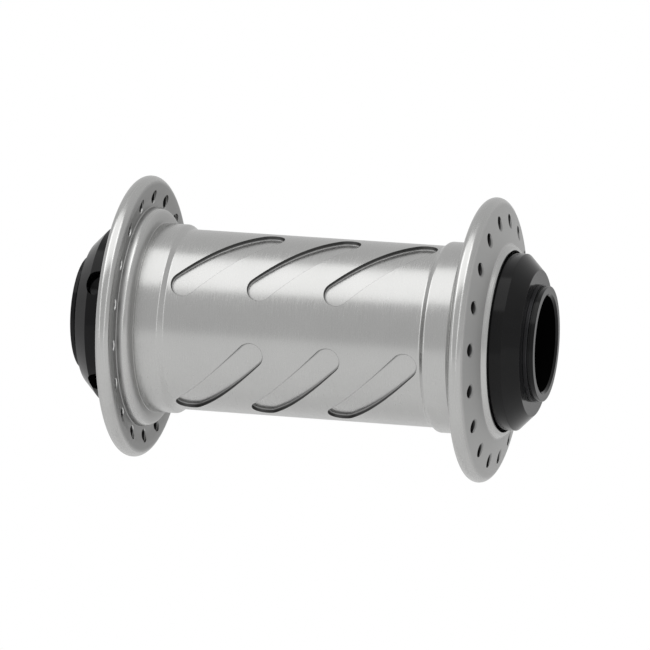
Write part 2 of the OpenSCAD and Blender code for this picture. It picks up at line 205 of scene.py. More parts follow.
def arc(centre_r, centre_y, radius, first, last, step=6.0):
    """Corners along an arc, with angles in degrees from +r towards +y."""
    n = max(2, int(abs(last - first) / step))
    angles = [math.radians(first + (last - first) * k / n) for k in range(n + 1)]
    return [(centre_r + radius * math.cos(t), centre_y + radius * math.sin(t), 0.0) for t in angles]


def mirrored(half):
    """Corners of one end, followed by those of the other end."""
    return half + [(r, -y, radius) for r, y, radius in reversed(half)]


def spaced(points, longest):
    """Splits long stretches of a closed outline, so that no face is much longer than given."""
    out = []
    for i, p in enumerate(points):
        q = points[(i + 1) % len(points)]
        pieces = int(np.linalg.norm(q - p) / longest) + 1
        out += [p + (q - p) * j / pieces for j in range(pieces)]
    return out


# Meshes
def linked(name, mesh):
    """Object of a mesh, in the scene."""
    ob = bpy.data.objects.new(name, mesh)
    bpy.context.scene.collection.objects.link(ob)
    return ob


def mesh_object(name, verts, faces, tag=TURNED):
    """Closed body from points in millimetres, with its faces turned outwards."""
    mesh = bpy.data.meshes.new(name)
    mesh.from_pydata([tuple(float(c) * MM for c in v) for v in verts], [], faces)
    mesh.update()
    mesh.polygons.foreach_set("material_index", [tag] * len(mesh.polygons))
    bm = bmesh.new()
    bm.from_mesh(mesh)
    bmesh.ops.recalc_face_normals(bm, faces=bm.faces)
    bm.to_mesh(mesh)
    bm.free()
    return linked(name, mesh)


def lathe(name, outline, segments):
    """Closed outline turned round Y."""
    n = len(outline)
    verts, faces = [], []
    for i in range(segments):
        t = 2 * math.pi * i / segments
        verts += [(r * math.cos(t), y, -r * math.sin(t)) for r, y in outline]
    for i in range(segments):
        j = (i + 1) % segments
        for k in range(n):
            m = (k + 1) % n
            faces.append((i * n + k, j * n + k, j * n + m, i * n + m))
    return mesh_object(name, verts, faces)


def plug(rings, segments, place):
    """Cutter of rings (radius, height) round its own Z axis, then put in place by a matrix."""
    verts, faces = [], []
    for r, z in rings:
        for i in range(segments):
            t = 2 * math.pi * (i + 0.5) / segments
            verts.append(place @ Vector((r * math.cos(t), r * math.sin(t), z)))
    for k in range(len(rings) - 1):
        for i in range(segments):
            j = (i + 1) % segments
            low, high = k * segments, (k + 1) * segments
            faces.append((low + i, low + j, high + j, high + i))
    for k in (0, len(rings) - 1):
        centre = len(verts)
        verts.append(place @ Vector((0, 0, rings[k][1])))
        for i in range(segments):
            faces.append((centre, k * segments + i, k * segments + (i + 1) % segments))
    return mesh_object("plug", verts, faces, DRILLED)


def joined(name, parts):
    """One object of several separate closed bodies."""
    verts, faces, tags = [], [], []
    for ob in parts:
        base = len(verts)
        verts += [tuple(v.co) for v in ob.data.vertices]
        for face in ob.data.polygons:
            faces.append([base + v for v in face.vertices])
            tags.append(face.material_index)
        bpy.data.objects.remove(ob)
    mesh = bpy.data.meshes.new(name)
    mesh.from_pydata(verts, [], faces)
    mesh.polygons.foreach_set("material_index", tags)
    mesh.update()
    return linked(name, mesh)


def cut(ob, cutter):
    """Takes the cutter's bodies out of the object, and keeps each face's material index."""
    modifier = ob.modifiers.new("cut", "BOOLEAN")
    modifier.operation = "DIFFERENCE"
    modifier.solver = "EXACT"
    modifier.object = cutter
    bpy.context.view_layer.update()
    deps = bpy.context.evaluated_depsgraph_get()
    mesh = bpy.data.meshes.new_from_object(ob.evaluated_get(deps))
    ob.modifiers.clear()
    ob.data = mesh
    bpy.data.objects.remove(cutter)


# Shading normals
Outline = namedtuple("Outline", "start along length side at_start at_end")
# Angles in degrees below which neighbours share a normal, on the outline and between cut faces
GENTLE_TURN = 25.0
MEETS_GENTLY = 35.0
# Stretches shorter than this can belong to a fillet
SMALL_FACE = 0.6
# Weight of a wrong direction against a distance, where a face is matched to a stretch
NORMAL_WEIGHT = 2.0
# Points this near to the floor of the pockets lie on it
ON_FLOOR = 0.03


def measured_outline(points):
    """Each stretch of an outline: its start, direction, length, outward side and the normals at its ends."""
    start = np.array(points)
    step = np.roll(start, -1, axis=0) - start
    length = np.linalg.norm(step, axis=1)
    keep = length > 1e-9
    start, step, length = start[keep], step[keep], length[keep]
    along = step / length[:, None]
    side = np.stack([along[:, 1], -along[:, 0]], 1)
    end = start + step
    if np.sum(start[:, 0] * end[:, 1] - end[:, 0] * start[:, 1]) < 0:
        side = -side
    return Outline(start, along, length, side, *corner_normals(side, length))


def corner_normals(side, length):
    """Normals at both ends of each stretch: shared where the turn is gentle, split where it is sharp."""
    turn = np.degrees(np.arccos(np.clip(np.sum(side * np.roll(side, 1, axis=0), 1), -1, 1)))
    at_start, at_end = side.copy(), side.copy()
    for i in range(len(side)):
        if turn[i] >= GENTLE_TURN:
            continue
        before, after = length[i - 1], length[i]
        # A long flat keeps its own normal up to the corner, so that only the fillet bends the light
        if before > 3 * after and after < SMALL_FACE:
            shared = side[i - 1]
        elif after > 3 * before and before < SMALL_FACE:
            shared = side[i]
        else:
            shared = (side[i - 1] + side[i]) / np.linalg.norm(side[i - 1] + side[i])
        at_start[i] = shared
        at_end[i - 1] = shared
    return at_start, at_end


def nearest_stretch(centre, normal, outline):
    """For each face the stretch of the outline that it was turned from, by its place and its direction."""
    r = np.hypot(centre[:, 0], centre[:, 2])
    place = np.stack([r, centre[:, 1]], 1)
    radial = (normal[:, 0] * centre[:, 0] + normal[:, 2] * centre[:, 2]) / np.maximum(r, 1e-9)
    direction = np.stack([radial, normal[:, 1]], 1)
    best = np.full(len(centre), -1)
    lowest = np.full(len(centre), np.inf)
    for i, (start, along, length, side) in enumerate(zip(*outline[:4])):
        offset = place - start
        t = np.clip(offset @ along, 0, length)
        miss = np.linalg.norm(offset - t[:, None] * along, axis=1) + NORMAL_WEIGHT * (1 - direction @ side)
        better = miss < lowest
        best[better], lowest[better] = i, miss[better]
    return best


def turned_normals(point, stretch, outline):
    """True normals of a turned surface at points on the given stretches of its outline."""
    r = np.hypot(point[:, 0], point[:, 2])
    offset = np.stack([r, point[:, 1]], 1) - outline.start[stretch]
    t = np.sum(offset * outline.along[stretch], 1) / outline.length[stretch]
    t = np.clip(t, 0, 1)[:, None]
    m = outline.at_start[stretch] * (1 - t) + outline.at_end[stretch] * t
    m /= np.linalg.norm(m, axis=1)[:, None]
    return np.stack([m[:, 0] * point[:, 0] / r, m[:, 1], m[:, 0] * point[:, 2] / r], 1)


def read(items, name, size=1, kind=float):
    """One attribute of all vertices, loops or faces of a mesh, as an array."""
    values = np.empty(len(items) * size, kind)
    items.foreach_get(name, values)
    return values.reshape(-1, size) if size > 1 else values


def faces_of_loops(mesh):
    """The number of the face that each loop belongs to."""
    first = read(mesh.polygons, "loop_start", kind=int)
    count = read(mesh.polygons, "loop_total", kind=int)
    order = np.concatenate([np.arange(a, a + b) for a, b in zip(first, count)])
    owner = np.empty(len(mesh.loops), int)
    owner[order] = np.repeat(np.arange(len(mesh.polygons)), count)
    return owner


def set_normals(ob, points):
    """Turned faces get the true normals of their outline, and cut faces are smooth where they meet gently."""
    mesh = ob.data
    outline = measured_outline(points)
    vertex = read(mesh.loops, "vertex_index", kind=int)
    point = (read(mesh.vertices, "co", 3) / MM)[vertex]
    face = faces_of_loops(mesh)
    tag = read(mesh.polygons, "material_index", kind=int)
    face_normal = read(mesh.polygons, "normal", 3)
    centre = read(mesh.polygons, "center", 3) / MM
    weight = np.sqrt(np.maximum(read(mesh.polygons, "area"), 1e-16))
    normals = np.zeros((len(vertex), 3))

    turned = tag == TURNED
    stretch = np.full(len(tag), -1)
    stretch[turned] = nearest_stretch(centre[turned], face_normal[turned], outline)
    on_turned = turned[face]
    normals[on_turned] = turned_normals(point[on_turned], stretch[face[on_turned]], outline)

    meeting = {}
    for loop in np.where(~on_turned)[0]:
        meeting.setdefault((vertex[loop], tag[face[loop]]), []).append(loop)
    limit = math.cos(math.radians(MEETS_GENTLY))
    for loops in meeting.values():
        around = face_normal[face[loops]]
        share = weight[face[loops]]
        for k, loop in enumerate(loops):
            near = around @ around[k] > limit
            total = (around[near] * share[near, None]).sum(0)
            normals[loop] = total / max(np.linalg.norm(total), 1e-12)

    # Floors of the pockets lie on a cylinder, which the rounded foot of the walls meets smoothly
    r = np.hypot(point[:, 0], point[:, 2])
    floor = (tag[face] >= POCKET_FLOOR) & (np.abs(r - POCKET_FLOOR_R) < ON_FLOOR)
    normals[floor] = point[floor] * (1, 0, 1) / r[floor, None]

    mesh.polygons.foreach_set("use_smooth", [True] * len(tag))
    mesh.update()
    mesh.normals_split_custom_set([tuple(n) for n in normals])
    mesh.update()


# Hub shell
def shell_half():
    """Corners of one end of the shell, from the barrel out over the flange and back in to the hollow."""
    shoulder_mid_r = SHOULDER_R - SHOULDER_ROUND
    shoulder_mid = SHOULDER_BACK + SHOULDER_ROUND
    housing = [(BARREL_R, CONE_START, CONE_ROUND), (HOUSING_R, CONE_END, CONE_ROUND),
               (HOUSING_R, SHOULDER_BACK, 0.08), (shoulder_mid_r, SHOULDER_BACK, 0.0)]
    shoulder = arc(shoulder_mid_r, shoulder_mid, SHOULDER_ROUND, -90.0, 0.0)[1:]
    inner_face = [(SHOULDER_R, INNER_FACE, 0.5), (INNER_SLOPE_START_R, INNER_FACE, INNER_SLOPE_ROUND),
                  (INNER_SLOPE_END_R, RIM_PLANE - RIM_BEAD, INNER_SLOPE_ROUND)]
    rim = arc(RIM_MID_R, RIM_PLANE, RIM_BEAD, -90.0, 90.0 - WEB_LEAN, step=5.0)
    lip = [(LIP_FOOT_R, LIP_FOOT, 0.5)]
    lip += arc(LIP_MID_R, MOUTH_END - LIP_ROUND, LIP_ROUND, 30.0, 90.0)
    inside = [(MOUTH_R, MOUTH_END, 0.06), (MOUTH_R, SEAL_GROOVE_END, 0.0),
              (SEAL_GROOVE_R, SEAL_GROOVE_END, 0.0), (SEAL_GROOVE_R, SEAL_GROOVE_START, 0.0),
              (BEARING_SEAT_R, SEAL_GROOVE_START, 0.0), (BEARING_SEAT_R, BEARING_SEAT_START, 0.0),
              (HOLLOW_R, BEARING_SEAT_START, 0.0)]
    return housing + shoulder + inner_face + rim + lip + inside


def spoke_plugs():
    """Cutters of the spoke holes, which widen towards both faces of a flange in small rounded mouths."""
    # How far each ring of a mouth lies below the face, and how much wider it is than the hole
    mouth = [(0.0, 0.15), (0.10, 0.06), (0.21, 0.01), (0.38, 0.0)]
    outer_face = web_face(SPOKE_CIRCLE_R)
    rings = [(SPOKE_HOLE_R + 0.2, INNER_FACE - 0.87)]
    rings += [(SPOKE_HOLE_R + wider, INNER_FACE + depth) for depth, wider in mouth]
    rings += [(SPOKE_HOLE_R + wider, outer_face - depth) for depth, wider in reversed(mouth)]
    rings += [(SPOKE_HOLE_R + 0.65, outer_face + 0.5)]
    plugs = []
    for side, first in SPOKE_FIRST.items():
        for k in range(SPOKE_HOLES):
            a = math.radians(first + 360 / SPOKE_HOLES * k)
            outwards = Vector((math.cos(a), 0, -math.sin(a)))
            place = facing(outwards * SPOKE_CIRCLE_R, Vector((0, side, 0)), outwards)
            plugs.append(plug(rings, 40, place))
    return joined("spoke_plugs", plugs)


def pocket_levels():
    """(outset, r) of a pocket's rim from above the barrel down to the floor, with rounded edge and foot."""
    edge, foot = POCKET_EDGE_ROUND, POCKET_FOOT_ROUND
    levels = [(edge + 0.4, BARREL_R + 0.5), (edge + 0.02, BARREL_R + 0.01), (edge, BARREL_R)]
    for t in map(math.radians, range(30, 91, 30)):
        levels.append((edge * (1 - math.sin(t)), BARREL_R - edge * (1 - math.cos(t))))
    for t in map(math.radians, range(0, 91, 18)):
        levels.append((-foot * (1 - math.cos(t)), POCKET_FLOOR_R + foot * (1 - math.sin(t))))
    return levels


def pocket_stations():
    """(place, share along, share across) of points along one side of a slot, from end to end."""
    around, sides = 11, 26
    quarter = [math.radians(90 * (2 * k + 1) / (2 * around + 1)) for k in range(around + 1)]
    low = [(-POCKET_HALF_STRAIGHT, -math.cos(a), math.sin(a)) for a in quarter]
    straight = [(POCKET_HALF_STRAIGHT * (2 * k / sides - 1), 0.0, 1.0) for k in range(1, sides)]
    high = [(POCKET_HALF_STRAIGHT, math.cos(a), math.sin(a)) for a in reversed(quarter)]
    return low + straight + high


def pocket_plug(turn, shift):
    """Cutter of one pocket, wound round the barrel."""
    levels, stations = pocket_levels(), pocket_stations()
    columns = 8
    verts, faces = [], []

    def add(along, across, r):
        """Adds a point from its place along and across the slot, and returns its number."""
        y = shift + along * math.cos(POCKET_SLANT) + across * math.sin(POCKET_SLANT)
        arc_length = across * math.cos(POCKET_SLANT) - along * math.sin(POCKET_SLANT)
        a = arc_length / BARREL_R + turn
        verts.append((r * math.cos(a), y, -r * math.sin(a)))
        return len(verts) - 1

    rims = []
    for outset, r in levels:
        width = POCKET_HALF_WIDTH + outset
        pairs = [(add(place + width * c, width * s, r), add(place + width * c, -width * s, r))
                 for place, c, s in stations]
        rims.append(tuple(zip(*pairs)))
    loops = [near + far[::-1] for near, far in rims]
    for upper, lower in zip(loops, loops[1:]):
        for k in range(len(upper)):
            j = (k + 1) % len(upper)
            faces.append((upper[k], upper[j], lower[j], lower[k]))
    walls = len(faces)
    for (outset, r), (near, far) in ((levels[0], rims[0]), (levels[-1], rims[-1])):
        width = POCKET_HALF_WIDTH + outset
        rows = []
        for (place, c, s), first, last in zip(stations, near, far):
            inner = [add(place + width * c, width * s * (1 - 2 * j / columns), r) for j in range(1, columns)]
            rows.append((first, *inner, last))
        for a, b in zip(rows, rows[1:]):
            faces += [(a[j], b[j], b[j + 1], a[j + 1]) for j in range(columns)]
        faces += [rows[0], rows[-1]]
    ob = mesh_object("pocket_plug", verts, faces, POCKET_FLOOR)
    for face in ob.data.polygons[:walls]:
        face.material_index = POCKET_WALL
    return ob


def pocket_plugs():
    """Cutters of all pockets, in rows round the barrel."""
    plugs = []
    for row in range(POCKET_ROWS):
        turn = math.radians(POCKET_TURN + 360 / POCKET_ROWS * row)
        for i in range(POCKETS_IN_ROW):
            shift = POCKET_SHIFT + POCKET_PITCH * (i - (POCKETS_IN_ROW - 1) / 2)
            plugs.append(pocket_plug(turn, shift))
    return joined("pocket_plugs", plugs)


def hub_shell():
    """Silver spool with drilled flanges and pockets."""
    outline = spaced(rounded(mirrored(shell_half())), longest=1.2)
    ob = lathe("shell_body", outline, segments=360)
    cut(ob, spoke_plugs())
    cut(ob, pocket_plugs())
    set_normals(ob, outline)
    return ob


# End cap and adjuster
def cap_outline(bore_r, bottom, side):
    """Outline of a cap with a rounded edge, a cone and a flat face, on the side given."""
    corners = [(bore_r, bottom, 0.0), (CAP_BOSS_R, bottom, 0.0), (CAP_BOSS_R, CAP_BACK, 0.0),
               (CAP_R, CAP_BACK, 0.3), (CAP_R, CAP_EDGE, 0.18), (CAP_FACE_R, CAP_FACE, 0.14),
               (bore_r, CAP_FACE, 0.1)]
    return spaced(rounded([(r, side * y, radius) for r, y, radius in corners]), longest=0.8)


def end_cap():
    """Right cap, whose boss reaches in to the bearing."""
    outline = cap_outline(CAP_BORE_R, CAP_BOTTOM, 1)
    ob = lathe("right_cap_body", outline, segments=240)
    set_normals(ob, outline)
    return ob


def spanner_plugs():
    """Cutters of the blind spanner holes: drill point, straight wall and rounded mouth."""
    r, bottom = SPANNER_HOLE_R, SPANNER_HOLE_BOTTOM
    point = [(0.01, bottom - 0.8), (r - 0.2, bottom - 0.15), (r, bottom)]
    mouth = [(r, CAP_R - 0.55), (r + 0.02, CAP_R - 0.35), (r + 0.07, CAP_R - 0.2), (r + 0.17, CAP_R - 0.05)]
    rings = point + mouth + [(r + 0.55, CAP_R + 0.45), (r + 0.55, CAP_R + 1.55)]
    plugs = []
    for k in range(SPANNER_HOLES):
        a = math.radians(SPANNER_FIRST + 360 / SPANNER_HOLES * k)
        outwards = Vector((math.cos(a), 0, -math.sin(a)))
        place = facing(Vector((0, SPANNER_PLACE, 0)), outwards, Vector((0, 1, 0)))
        plugs.append(plug(rings, 56, place))
    return joined("spanner_plugs", plugs)


def preload_adjuster():
    """Left cap with spanner holes, hollowed a little where the thrust washer lies."""
    outline = cap_outline(ADJUSTER_BORE_R, ADJUSTER_BOTTOM, -1)
    ob = lathe("adjuster_body", outline, segments=240)
    cut(ob, spanner_plugs())
    set_normals(ob, outline)
    return ob


# Axle
def axle_tube():
    """Hollow axle; near each end are the groove of a retaining ring and a shallow groove outside it."""
    half = [(AXLE_MID_R, AXLE_STEP, 0.2), (AXLE_R, AXLE_STEP, 0.0), (AXLE_R, RING_GROOVE_START, 0.0),
            (RING_GROOVE_R, RING_GROOVE_START, 0.0), (RING_GROOVE_R, RING_GROOVE_END, 0.0),
            (BAND_GROOVE_R, RING_GROOVE_END, 0.0), (BAND_GROOVE_R, BAND_GROOVE_END, 0.0),
            (AXLE_R, BAND_GROOVE_END, 0.06), (AXLE_R, AXLE_END, 0.16),
            (AXLE_BORE_R + BORE_CHAMFER, AXLE_END, 0.05), (AXLE_BORE_R, AXLE_END - BORE_CHAMFER, 0.08)]
    outline = spaced(rounded(mirrored(half)), longest=1.5)
    ob = lathe("axle_body", outline, segments=240)
    set_normals(ob, outline)
    for face in ob.data.polygons:
        if math.hypot(face.center.x, face.center.z) < (AXLE_BORE_R + 0.02) * MM:
            face.material_index = BORE
    return ob


# Material nodes
def feed(nt, socket, value):
    """Sets a socket to a number or a colour, or links another socket to it."""
    if isinstance(value, (int, float)):
        socket.default_value = value
    elif isinstance(value, tuple):
        socket.default_value = (*value, 1.0)
    else:
        nt.links.new(value, socket)


def math_node(nt, operation, *values):
    """Result of a sum, product or other operation of the Math node."""
    n = nt.nodes.new("ShaderNodeMath")
    n.operation = operation
    for socket, value in zip(n.inputs, values):
        feed(nt, socket, value)
    return n.outputs[0]


def combine(nt, *values):
    """Vector of three numbers."""
    n = nt.nodes.new("ShaderNodeCombineXYZ")
    for socket, value in zip(n.inputs, values):
        feed(nt, socket, value)
    return n.outputs[0]


def mix(nt, kind, factor, a, b):
    """Goes from a to b with the factor; the kind is RGBA for colours and FLOAT for numbers."""
    n = nt.nodes.new("ShaderNodeMix")
    n.data_type = kind
    feed(nt, n.inputs["Factor"], factor)
    feed(nt, n.inputs["A"], a)
    feed(nt, n.inputs["B"], b)
    return n.outputs["Result"]


def noise(nt, vector, scale, detail, roughness):
    """Noise between 0 and 1; the scale is in periods per millimetre."""
    n = nt.nodes.new("ShaderNodeTexNoise")
    n.inputs["Scale"].default_value = scale
    n.inputs["Detail"].default_value = detail
    n.inputs["Roughness"].default_value = roughness
    nt.links.new(vector, n.inputs["Vector"])
    return n.outputs["Fac"]


def ramp(nt, value, low, high, start=0.3, end=0.7):
    """Goes from low to high while the value goes from start to end, and stays level outside them."""
    n = nt.nodes.new("ShaderNodeMapRange")
    n.inputs["From Min"].default_value = start
    n.inputs["From Max"].default_value = end
    n.inputs["To Min"].default_value = low
    n.inputs["To Max"].default_value = high
    nt.links.new(value, n.inputs["Value"])
    return n.outputs["Result"]


def above(nt, value, start, end):
    """0 below start, and 1 above end."""
    return ramp(nt, value, 0.0, 1.0, start, end)


def below(nt, value, start, end):
    """1 below start, and 0 above end."""
    return ramp(nt, value, 1.0, 0.0, start, end)


def bump(nt, height, strength, distance, normal=None):
    """Normal of a surface raised by a height between 0 and 1, the distance being in metres."""
    n = nt.nodes.new("ShaderNodeBump")
    n.inputs["Strength"].default_value = strength
    n.inputs["Distance"].default_value = distance
    nt.links.new(height, n.inputs["Height"])
    if normal is not None:
        nt.links.new(normal, n.inputs["Normal"])
    return n.outputs["Normal"]


def length_of(nt, a, b):
    """Square root of the sum of two squares."""
    squares = math_node(nt, "ADD", math_node(nt, "MULTIPLY", a, a), math_node(nt, "MULTIPLY", b, b))
    return math_node(nt, "SQRT", squares)


def coordinates(nt):
    """Place of a point in its object, in millimetres."""
    texture = nt.nodes.new("ShaderNodeTexCoord")
    split = nt.nodes.new("ShaderNodeSeparateXYZ")
    nt.links.new(texture.outputs["Object"], split.inputs[0])
    return [math_node(nt, "MULTIPLY", split.outputs[i], PER_MM) for i in range(3)]


def around_axis(nt):
    """Distance of a point from the spin axis, and its distance from the hub's middle along it."""
    x, y, z = coordinates(nt)
    return length_of(nt, x, z), math_node(nt, "ABSOLUTE", y)


def new_material(name, color, metallic, roughness, **sockets):
    """A material with its node tree and shader; further sockets of the shader are set by name."""
    mat = bpy.data.materials.new(name)
    mat.use_nodes = True
    nt = mat.node_tree
    bsdf = nt.nodes["Principled BSDF"]
    bsdf.inputs["Base Color"].default_value = (*color, 1.0)
    bsdf.inputs["Metallic"].default_value = metallic
    bsdf.inputs["Roughness"].default_value = roughness
    for key, value in sockets.items():
        bsdf.inputs[key.replace("_", " ")].default_value = value
    return mat, nt, bsdf


# Materials. The dark and light colours of each are linear RGB
GRAIN_HEIGHT = 0.004 * MM


def turned_metal(name, dark, light, metallic, rough, line_scale, line_depth, aniso=0.0, grain=0.35,
                 streaks=0.14, **sockets):
    """Surface turned on a lathe: fine rings round the spin axis, a fine blasted grain and slow cloudiness."""
    mat, nt, bsdf = new_material(name, light, metallic, rough, **sockets)
    x, y, z = coordinates(nt)
    r = length_of(nt, x, z)
    # Rings: noise that changes fast along the outline and slowly round the axis
    safe_r = math_node(nt, "MAXIMUM", r, 0.01)
    round_x = math_node(nt, "MULTIPLY", math_node(nt, "DIVIDE", x, safe_r), 0.9)
    round_z = math_node(nt, "MULTIPLY", math_node(nt, "DIVIDE", z, safe_r), 0.9)
    ring_place = combine(nt, round_x, math_node(nt, "ADD", y, r), round_z)
    rings = noise(nt, ring_place, line_scale, detail=5.0, roughness=0.65)
    blasting = noise(nt, combine(nt, x, y, z), scale=5.5, detail=3.0, roughness=0.7)
    cloud = noise(nt, combine(nt, x, y, z), scale=0.09, detail=3.0, roughness=0.55)
    half_rings = math_node(nt, "MULTIPLY", above(nt, rings, 0.3, 0.7), 0.5)
    half_cloud = math_node(nt, "MULTIPLY", above(nt, cloud, 0.3, 0.7), 0.5)
    color = mix(nt, "RGBA", math_node(nt, "ADD", half_rings, half_cloud), dark, light)
    nt.links.new(color, bsdf.inputs["Base Color"])
    ring_rough = ramp(nt, rings, rough * (1 - streaks), rough * (1 + streaks))
    roughness = math_node(nt, "ADD", ring_rough, ramp(nt, blasting, -0.03, 0.03))
    nt.links.new(roughness, bsdf.inputs["Roughness"])
    lines = bump(nt, rings, strength=0.5, distance=line_depth * MM)
    nt.links.new(bump(nt, blasting, grain, GRAIN_HEIGHT, normal=lines), bsdf.inputs["Normal"])
    if aniso:
        bsdf.inputs["Anisotropic"].default_value = aniso
        tangent = nt.nodes.new("ShaderNodeTangent")
        tangent.direction_type = "RADIAL"
        tangent.axis = "Y"
        nt.links.new(tangent.outputs[0], bsdf.inputs["Tangent"])
    return mat


def mixed_in(mat, factor, color, rough):
    """Where the factor is 1, a material takes another colour and roughness."""
    nt = mat.node_tree
    bsdf = nt.nodes["Principled BSDF"]
    for name, kind, value in (("Base Color", "RGBA", color), ("Roughness", "FLOAT", rough)):
        old = bsdf.inputs[name].links[0].from_socket
        nt.links.new(mix(nt, kind, factor, old, value), bsdf.inputs[name])


def shell_silver():
    """Clear anodised shell: barrel, housings and rims brushed round the axis, webs and walls blasted, and the
    facing inner faces of the flanges painted darker as shade.
    """
    mat = turned_metal("shell_silver_turned", dark=(0.447, 0.447, 0.441), light=(0.49, 0.49, 0.483),
                       metallic=1.0, rough=0.235, line_scale=7.0, line_depth=0.005, aniso=0.3, streaks=0.24)
    nt = mat.node_tree
    r, height = around_axis(nt)
    # The webs don't mirror the pieces next to them; rims, shoulders and barrel stay brushed
    beside_lip_and_rim = math_node(nt, "MULTIPLY", above(nt, r, LIP_FOOT_R - 0.1, LIP_FOOT_R + 0.5),
                                   below(nt, r, RIM_MID_R - 0.2, RIM_MID_R + 0.8))
    off_shoulder = math_node(nt, "MAXIMUM", above(nt, height, SHOULDER_BACK + 1.35, SHOULDER_BACK + 1.95),
                             above(nt, r, SHOULDER_R + 0.1, SHOULDER_R + 0.5))
    blasted = math_node(nt, "MULTIPLY", beside_lip_and_rim, off_shoulder)
    mixed_in(mat, blasted, (0.48, 0.48, 0.475), rough=0.7)
    # Painted shade: the faces of the flanges that face each other are painted darker than the outer ones, as
    # shade in the hollow between rim and shoulder
    inner_face = math_node(nt, "MULTIPLY", blasted, below(nt, height, RIM_PLANE - 0.4, RIM_PLANE))
    mixed_in(mat, inner_face, (0.34, 0.34, 0.336), rough=0.5)
    # The walls between the housings and the round of the shoulders are dull too
    shoulder_wall = math_node(nt, "MULTIPLY", above(nt, r, HOUSING_R + 0.02, HOUSING_R + 0.15),
                              below(nt, height, SHOULDER_BACK + 0.15, SHOULDER_BACK + 0.85))
    mixed_in(mat, shoulder_wall, (0.45, 0.45, 0.445), rough=0.5)
    return mat


def hole_walls():
    """Walls of the spoke holes, with painted shade: dark inside, paler towards both mouths, and a painted
    glint on the side nearest the axis.
    """
    mat = turned_metal("shell_hole_walls_painted_shade", dark=(0.03, 0.03, 0.03), light=(0.05, 0.05, 0.05), metallic=1.0,
                       rough=0.45, line_scale=4.0, line_depth=0.004)
    nt = mat.node_tree
    r, height = around_axis(nt)
    slope = math_node(nt, "MULTIPLY", r, math.tan(math.radians(WEB_LEAN)))
    outer_face = math_node(nt, "SUBTRACT", web_face(0.0), slope)
    outer_depth = math_node(nt, "SUBTRACT", outer_face, height)
    inner_depth = math_node(nt, "SUBTRACT", height, INNER_FACE)
    # Painted shade: the walls are painted dark deep in the hole and paler close to each face
    at_mouth = math_node(nt, "MAXIMUM", below(nt, outer_depth, 0.15, 0.35), below(nt, inner_depth, 0.05, 0.2))
    mixed_in(mat, at_mouth, (0.3, 0.3, 0.297), rough=0.45)
    # Painted glint: the side of a hole nearest to the axis, just inside the inner face, is painted pale where
    # light from between the flanges would reach it
    painted_glint = math_node(nt, "MULTIPLY", below(nt, inner_depth, 0.4, 0.8),
                         below(nt, r, SPOKE_CIRCLE_R - 1.1, SPOKE_CIRCLE_R - 0.7))
    mixed_in(mat, painted_glint, (0.6, 0.6, 0.595), rough=0.35)
    return mat


def pocket_floors():
    """Milled floors of the pockets, a little paler than the barrel."""
    return turned_metal("shell_pocket_floors", dark=(0.468, 0.468, 0.462), light=(0.502, 0.502, 0.495),
                        metallic=1.0, rough=0.3, line_scale=5.0, line_depth=0.003)


def pocket_walls():
    """Walls of the pockets, with painted shade: dark above, fading to paler at the rounded foot."""
    mat = turned_metal("shell_pocket_walls_painted_shade", dark=(0.08, 0.08, 0.08), light=(0.115, 0.115, 0.114),
                       metallic=1.0, rough=0.5, line_scale=4.0, line_depth=0.001)
    nt = mat.node_tree
    r, _ = around_axis(nt)
    # The painted shade fades out towards the rounded foot, where the wall meets the floor
    mixed_in(mat, below(nt, r, POCKET_FLOOR_R, POCKET_FLOOR_R + 0.4), (0.36, 0.36, 0.356), rough=0.4)
    return mat


def cap_black():
    """Satin black anodised end cap and adjuster."""
    return turned_metal("cap_black_anodised", dark=(0.003, 0.003, 0.0032), light=(0.0065, 0.0065, 0.0068),
                        metallic=0.0, rough=0.15, line_scale=7.0, line_depth=0.003, Specular_IOR_Level=0.17)


def axle_black():
    """Satin black anodised axle."""
    return turned_metal("axle_black_anodised", dark=(0.003, 0.003, 0.0033), light=(0.006, 0.006, 0.0064),
                        metallic=0.0, rough=0.15, line_scale=7.0, line_depth=0.003, Specular_IOR_Level=0.19)


def bore_black():
    """Inside of the axle: dull black, painted darker than the axle and almost without reflections, as shade
    deep in the bore.
    """
    return turned_metal("axle_bore_painted_shade", dark=(0.0006, 0.0006, 0.0006), light=(0.001, 0.001, 0.001),
                        metallic=0.0, rough=0.8, line_scale=4.0, line_depth=0.004, Specular_IOR_Level=0.02)


def spacer_silver():
    """Turned sleeve between the bearings."""
    return turned_metal("spacer_turned", dark=(0.56, 0.56, 0.56), light=(0.68, 0.68, 0.68), metallic=1.0,
                        rough=0.3, line_scale=4.0, line_depth=0.01)


def ring_steel():
    """Blackened spring steel of the retaining rings and the shim."""
    return turned_metal("ring_blackened_steel", dark=(0.03, 0.03, 0.032), light=(0.07, 0.07, 0.073),
                        metallic=1.0, rough=0.38, line_scale=5.0, line_depth=0.006)


def washer_steel():
    """Ground steel of the thrust washer."""
    return turned_metal("washer_ground_steel", dark=(0.48, 0.48, 0.49), light=(0.58, 0.58, 0.59),
                        metallic=1.0, rough=0.26, line_scale=6.0, line_depth=0.006)


def race_steel():
    """Ground bearing steel of the races."""
    return turned_metal("race_ground_steel", dark=(0.52, 0.53, 0.55), light=(0.64, 0.65, 0.67),
                        metallic=1.0, rough=0.16, line_scale=7.0, line_depth=0.003)


def ball_steel():
    """Polished bearing steel of the balls."""
    return turned_metal("ball_polished_steel", dark=(0.66, 0.67, 0.69), light=(0.74, 0.75, 0.77),
                        metallic=1.0, rough=0.06, line_scale=3.0, line_depth=0.0005, grain=0.05)


def cage_plastic():
    """Moulded plastic of the ball cages."""
    return turned_metal("cage_moulded", dark=(0.58, 0.5, 0.36), light=(0.68, 0.6, 0.45), metallic=0.0,
                        rough=0.5, line_scale=1.5, line_depth=0.004)


